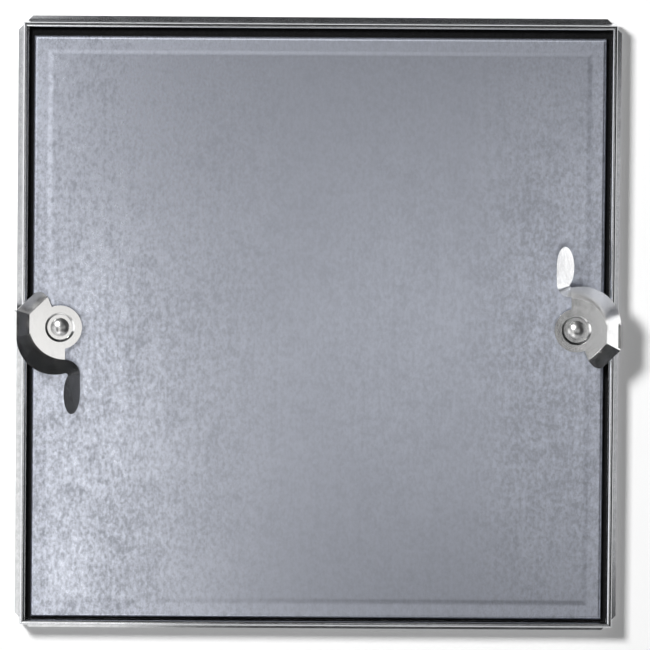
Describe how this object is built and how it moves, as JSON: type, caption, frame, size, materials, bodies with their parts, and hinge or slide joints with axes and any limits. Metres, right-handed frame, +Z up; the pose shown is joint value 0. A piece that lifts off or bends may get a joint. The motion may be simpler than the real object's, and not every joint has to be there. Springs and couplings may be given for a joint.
{
  "type": "duct access door",
  "caption": "Removable insulated access door for sheet-metal duct: hemmed galvanised panel in a mitred rimmed frame with foam seals and turning cam locks at the sides.",
  "frame": {"origin": "centre of the duct's opening, on the duct's outer face, where the frame's seal lies", "axes": "+Y into the duct, +Z up, +X to the right as seen from the front; the door faces -Y"},
  "size_m": [0.2546, 0.0379, 0.2574],
  "materials": {
    "galvanised_sheet": "galvanised, fine rolled grain with small spangle",
    "plated_cam": "bright zinc plate",
    "plated_hardware": "bright zinc plate",
    "foam_seal": "closed-cell foam",
    "glass_wool": "bonded glass fibre"
  },
  "bodies": {
    "frame": {"frame_top": "galvanised_sheet", "frame_bottom": "galvanised_sheet", "frame_left": "galvanised_sheet", "frame_right": "galvanised_sheet", "duct_gasket_top": "foam_seal", "duct_gasket_bottom": "foam_seal", "duct_gasket_left": "foam_seal", "duct_gasket_right": "foam_seal", "door_gasket_top": "foam_seal", "door_gasket_bottom": "foam_seal", "door_gasket_left": "foam_seal", "door_gasket_right": "foam_seal"},
    "door": {"door_skin": "galvanised_sheet", "door_back_pan": "galvanised_sheet", "insulation": "glass_wool", "cam_rivet_left": "plated_hardware", "cam_rivet_right": "plated_hardware", "spring_washer_left": "plated_hardware", "spring_washer_right": "plated_hardware", "backing_washer_left": "plated_hardware", "backing_washer_right": "plated_hardware"},
    "cam_left": {"cam_left": "plated_cam"},
    "cam_right": {"cam_right": "plated_cam"}
  },
  "joints": [
    {"name": "door_lift_out", "type": "slide", "parent": "frame", "child": "door", "axis": [0, -1, 0], "range_m": [0, 0.08]},
    {"name": "cam_left_turn", "type": "hinge", "parent": "door", "child": "cam_left", "pos_m": [-0.108, -0.01055, -0.0012], "axis": [0, -1, 0], "range_deg": [0, 105]},
    {"name": "cam_right_turn", "type": "hinge", "parent": "door", "child": "cam_right", "pos_m": [0.108, -0.01055, -0.0012], "axis": [0, -1, 0], "range_deg": [0, 105]}
  ]
}
